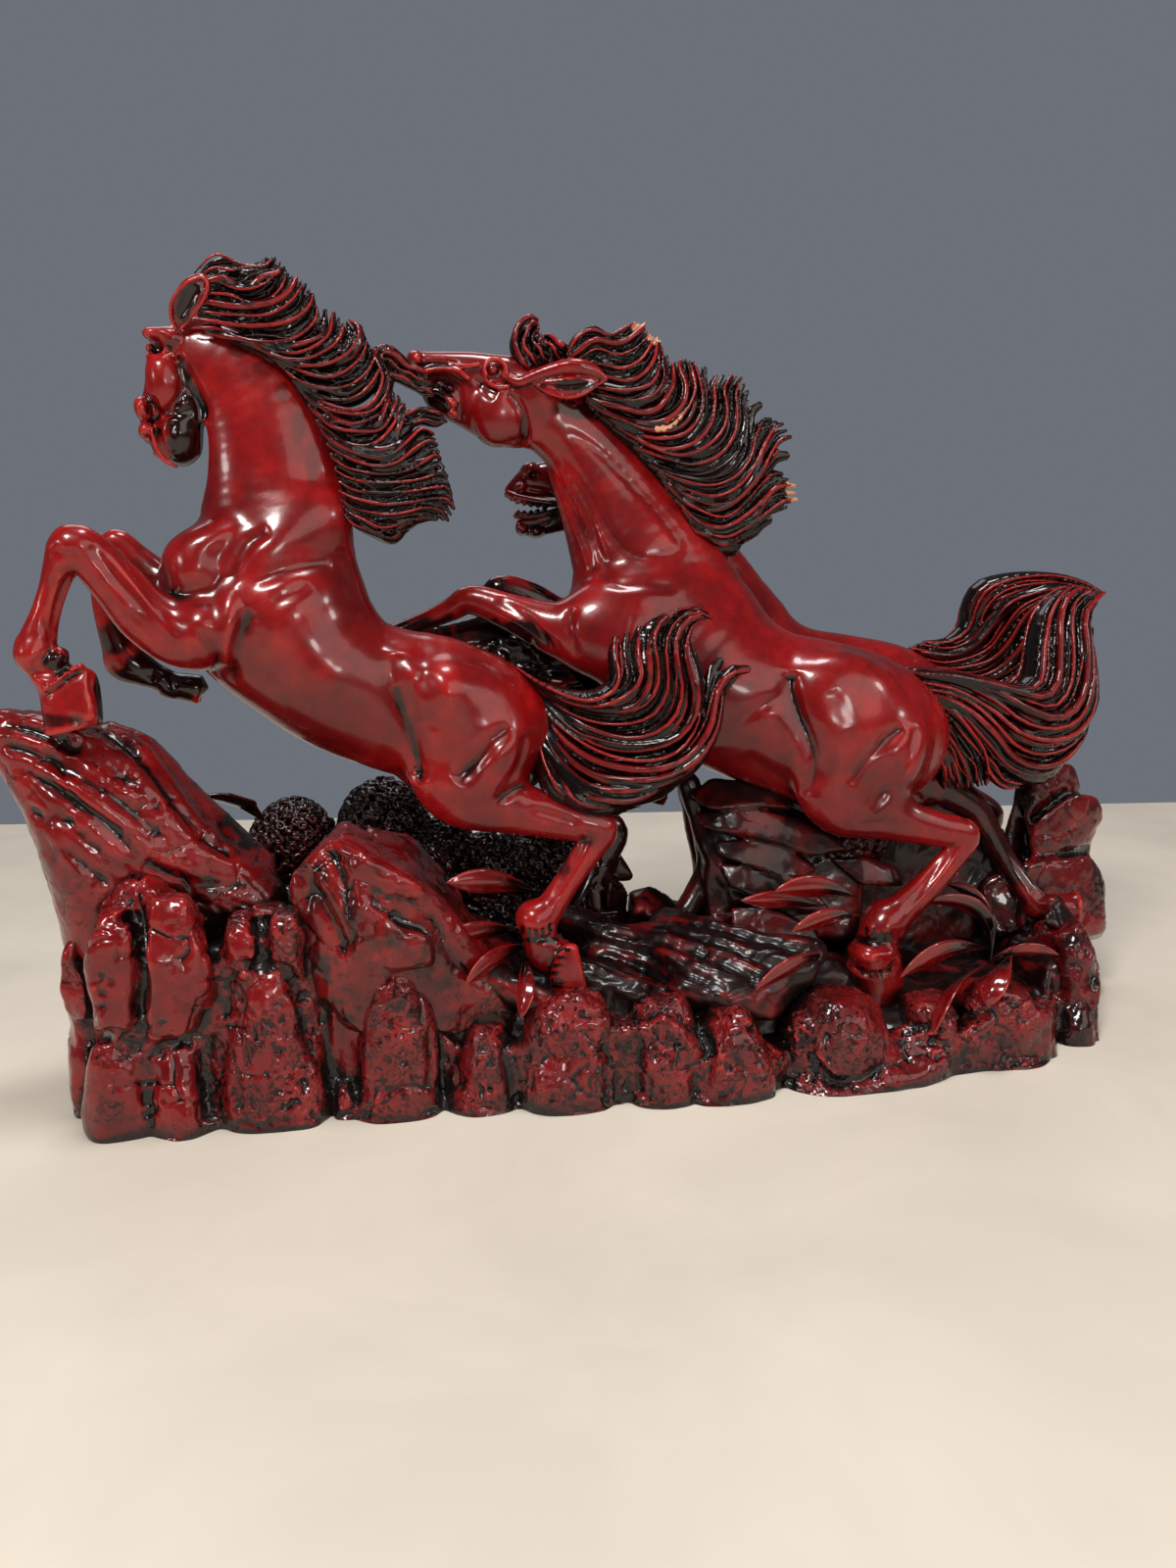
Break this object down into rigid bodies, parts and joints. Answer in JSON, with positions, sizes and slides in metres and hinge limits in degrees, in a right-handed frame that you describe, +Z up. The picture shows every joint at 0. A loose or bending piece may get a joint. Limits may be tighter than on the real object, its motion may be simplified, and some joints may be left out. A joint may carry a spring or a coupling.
{
  "type": "running horse sculpture",
  "caption": "Red-lacquered tabletop sculpture of a group of galloping horses with flowing manes and tails on a tall craggy rock base with leaves and berries.",
  "frame": {"origin": "middle of the flat underside of the base", "axes": "+X along the base towards the horses' tails, the horses run towards -X; the front of the piece faces -Y; +Z up"},
  "size_m": [0.4322, 0.1349, 0.2822],
  "materials": {
    "horse_lacquer": "deep red gloss lacquer over cast resin",
    "hair_lacquer": "dark brown wash in the grooves, red lacquer on the ridges",
    "rock_lacquer": "red lacquer with a blackened wash in the pits",
    "berry_lacquer": "blackened wash with red glints",
    "leaf_lacquer": "deep red gloss lacquer"
  },
  "bodies": {
    "root": {"front_horse_body": "horse_lacquer", "front_horse_head": "horse_lacquer", "front_horse_left_foreleg": "horse_lacquer", "front_horse_right_foreleg": "horse_lacquer", "front_horse_left_hind_leg": "horse_lacquer", "front_horse_right_hind_leg": "horse_lacquer", "front_horse_mane": "hair_lacquer", "front_horse_tail": "hair_lacquer", "middle_horse_body": "horse_lacquer", "middle_horse_head": "horse_lacquer", "middle_horse_left_foreleg": "horse_lacquer", "middle_horse_right_foreleg": "horse_lacquer", "middle_horse_left_hind_leg": "horse_lacquer", "middle_horse_right_hind_leg": "horse_lacquer", "middle_horse_mane": "hair_lacquer", "middle_horse_tail": "hair_lacquer", "back_horse_body": "horse_lacquer", "back_horse_head": "horse_lacquer", "back_horse_left_foreleg": "horse_lacquer", "back_horse_right_foreleg": "horse_lacquer", "back_horse_left_hind_leg": "horse_lacquer", "back_horse_right_hind_leg": "horse_lacquer", "back_horse_mane": "hair_lacquer", "back_horse_tail": "hair_lacquer", "rock_base": "rock_lacquer", "left_crag": "rock_lacquer", "centre_rock": "rock_lacquer", "saddle_rock": "rock_lacquer", "rear_rock": "rock_lacquer", "left_berry_cluster": "berry_lacquer", "centre_berry_cluster": "berry_lacquer", "rear_berry_cluster": "berry_lacquer", "left_leaf_spray": "leaf_lacquer", "upper_leaf_spray": "leaf_lacquer", "lower_leaf_spray": "leaf_lacquer"}
  },
  "joints": []
}
